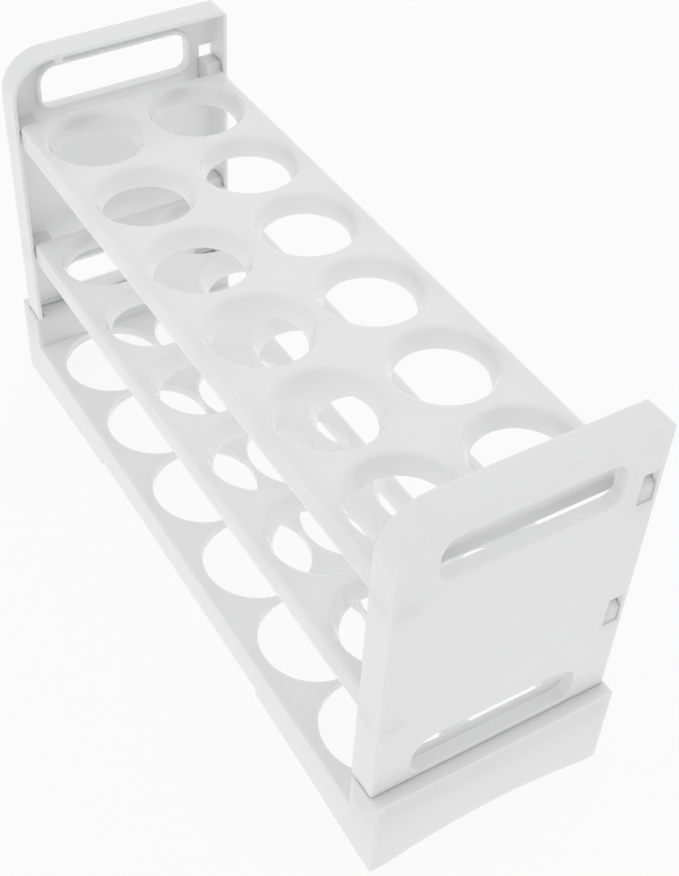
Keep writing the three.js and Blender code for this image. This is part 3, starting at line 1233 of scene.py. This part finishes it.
@dataclass(frozen=True)
class Studio:
    """The pale floor, the white surroundings and one soft lamp.

    The light that the world and the floor send to the rack is lower than the white that the camera sees. The
    world's light has a level for each way along the three axes.
    """

    plus_sides: Triple = (0.43, 1.0, 0.86)
    minus_sides: Triple = (0.55, 0.7, 0.87)
    floor_light: float = 0.93
    seen_light: float = 1.0
    floor_half: float = 3.0
    floor_parts: int = 8
    floor_level: float = -0.0002
    floor_colour: float = 0.9
    floor_shadow: float = 0.12
    key: Lamp = Lamp("key", (-0.5, -1.3, 1.3), (0.0, 0.0, 0.08), 1.2, 1.2)

    def floor(self) -> None:
        """Builds the floor, white in the camera, which keeps a faint shadow."""
        mesh = bmesh.new()
        bmesh.ops.create_grid(
            mesh, x_segments=self.floor_parts, y_segments=self.floor_parts, size=self.floor_half,
        )
        made = object_from(mesh, "floor")
        made.location = (0.0, 0.0, self.floor_level)
        material = bpy.data.materials.new("pale_floor")
        material.use_nodes = True
        tree = material.node_tree
        tree.nodes.clear()
        output = tree.nodes.new("ShaderNodeOutputMaterial")
        diffuse = tree.nodes.new("ShaderNodeBsdfDiffuse")
        diffuse.inputs["Color"].default_value = (*(self.floor_colour,) * 3, 1.0)
        glow = tree.nodes.new("ShaderNodeEmission")
        rays = tree.nodes.new("ShaderNodeLightPath")
        seen = tree.nodes.new("ShaderNodeMapRange")
        seen.inputs["To Min"].default_value = self.floor_light
        seen.inputs["To Max"].default_value = self.seen_light
        tree.links.new(self.shown(tree, rays), seen.inputs["Value"])
        tree.links.new(seen.outputs[0], glow.inputs["Strength"])
        mix = tree.nodes.new("ShaderNodeMixShader")
        mix.inputs["Fac"].default_value = 1.0 - self.floor_shadow
        tree.links.new(diffuse.outputs[0], mix.inputs[1])
        tree.links.new(glow.outputs[0], mix.inputs[2])
        tree.links.new(mix.outputs[0], output.inputs["Surface"])
        made.data.materials.append(material)

    @staticmethod
    def shown(tree: bpy.types.NodeTree, rays: bpy.types.Node) -> bpy.types.NodeSocket:
        """Returns a socket that is 1 for the rays that show the background.

        Args:
            tree: The tree that holds the nodes.
            rays: The light path node.

        Returns:
            The socket.
        """
        first = tree.nodes.new("ShaderNodeMath")
        first.operation = "MAXIMUM"
        second = tree.nodes.new("ShaderNodeMath")
        second.operation = "MAXIMUM"
        tree.links.new(rays.outputs["Is Camera Ray"], first.inputs[0])
        tree.links.new(rays.outputs["Is Glossy Ray"], first.inputs[1])
        tree.links.new(first.outputs[0], second.inputs[0])
        tree.links.new(rays.outputs["Is Transmission Ray"], second.inputs[1])
        return second.outputs[0]

    def surroundings(self) -> None:
        """Sets the world: white where it is seen, and a plain level of light on the rack."""
        world = bpy.data.worlds.new("white_room")
        bpy.context.scene.world = world
        world.use_nodes = True
        tree = world.node_tree
        tree.nodes.clear()
        output = tree.nodes.new("ShaderNodeOutputWorld")
        rays = tree.nodes.new("ShaderNodeLightPath")
        lit = tree.nodes.new("ShaderNodeBackground")
        lit.inputs["Color"].default_value = (1.0, 1.0, 1.0, 1.0)
        way = tree.nodes.new("ShaderNodeTexCoord")
        level = tree.nodes.new("ShaderNodeMath")
        level.operation = "ADD"
        halves = (("MAXIMUM", self.plus_sides), ("MINIMUM", self.minus_sides))
        for index, (operation, sides) in enumerate(halves):
            half = tree.nodes.new("ShaderNodeVectorMath")
            half.operation = operation
            square = tree.nodes.new("ShaderNodeVectorMath")
            square.operation = "MULTIPLY"
            weighed = tree.nodes.new("ShaderNodeVectorMath")
            weighed.operation = "DOT_PRODUCT"
            weighed.inputs[1].default_value = sides
            tree.links.new(way.outputs["Generated"], half.inputs[0])
            tree.links.new(half.outputs[0], square.inputs[0])
            tree.links.new(half.outputs[0], square.inputs[1])
            tree.links.new(square.outputs[0], weighed.inputs[0])
            tree.links.new(weighed.outputs["Value"], level.inputs[index])
        tree.links.new(level.outputs[0], lit.inputs["Strength"])
        white = tree.nodes.new("ShaderNodeBackground")
        white.inputs["Color"].default_value = (1.0, 1.0, 1.0, 1.0)
        white.inputs["Strength"].default_value = self.seen_light
        mix = tree.nodes.new("ShaderNodeMixShader")
        tree.links.new(self.shown(tree, rays), mix.inputs["Fac"])
        tree.links.new(lit.outputs[0], mix.inputs[1])
        tree.links.new(white.outputs[0], mix.inputs[2])
        tree.links.new(mix.outputs[0], output.inputs["Surface"])

    def build(self) -> None:
        """Builds the studio."""
        self.floor()
        self.surroundings()
        self.key.build()
        bpy.context.scene.view_settings.view_transform = "Standard"


@dataclass(frozen=True)
class PhotoCamera:
    """The camera, at the place and with the frame of the photograph."""

    place: Triple = (386.83, -230.80, 506.28)
    azimuth: float = 60.23
    elevation: float = 43.86
    roll: float = 0.84
    focal: float = 1430.0
    centre: Place = (261.6, 421.8)
    width: int = 679
    height: int = 876
    sensor: float = 36.0

    def build(self) -> None:
        """Adds the camera and makes it the scene's own."""
        a, e, r = (math.radians(value) for value in (self.azimuth, self.elevation, self.roll))
        back = Vector((math.sin(a) * math.cos(e), -math.cos(a) * math.cos(e), math.sin(e)))
        level = (-back).cross(Vector((0, 0, 1))).normalized()
        above = level.cross(-back)
        right = math.cos(r) * level + math.sin(r) * above
        up = math.cos(r) * above - math.sin(r) * level
        data = bpy.data.cameras.new("photo_camera")
        data.sensor_fit = "AUTO"
        data.sensor_width = self.sensor
        data.lens = self.focal * self.sensor / self.height
        data.shift_x = (self.width / 2 - self.centre[0]) / self.height
        data.shift_y = (self.centre[1] - self.height / 2) / self.height
        data.clip_start = 0.01
        data.clip_end = 20.0
        made = bpy.data.objects.new("photo_camera", data)
        bpy.context.scene.collection.objects.link(made)
        turn = Matrix((right, up, back)).transposed().to_4x4()
        made.matrix_world = Matrix.Translation(Vector(self.place) * MILLIMETRE) @ turn
        bpy.context.scene.camera = made


def main() -> None:
    """Builds the camera, the pieces and the studio in order."""
    logging.basicConfig(level=logging.INFO, format="%(name)s: %(message)s")
    PhotoCamera().build()
    # The shelves' body colour is set lighter than the plastic's own, as painted light standing in for light
    # that reaches inside the shelves.
    shelf_painted_light_finish = PlasticFinish(
        "milky_shelf_plastic_painted_light", (0.985, 0.985, 0.985), (0.97, 0.972, 0.975),
    ).material()
    # The plates' body colour is set darker than the plastic's own, as painted shade.
    plate_painted_shade_finish = PlasticFinish(
        "glossy_plate_plastic_painted_shade", (0.9, 0.9, 0.9), (0.875, 0.878, 0.882), roughness=0.06, reach=0.007,
    ).material()
    # The base's body colour is set darker than the plastic's own, as painted shade.
    base_painted_shade_finish = PlasticFinish(
        "milky_base_plastic_painted_shade", (0.875, 0.875, 0.875), (0.86, 0.862, 0.865), reach=0.006,
    ).material()
    EggShelf("middle_shelf", TIERS[0]).build(shelf_painted_light_finish)
    EggShelf("top_shelf", TIERS[1]).build(shelf_painted_light_finish)
    plate = EndPlate(TIERS)
    plate.build(1, plate_painted_shade_finish)
    plate.build(-1, plate_painted_shade_finish)
    OpenBase().build(plate, base_painted_shade_finish)
    Studio().build()


if __name__ == "__main__":
    main()
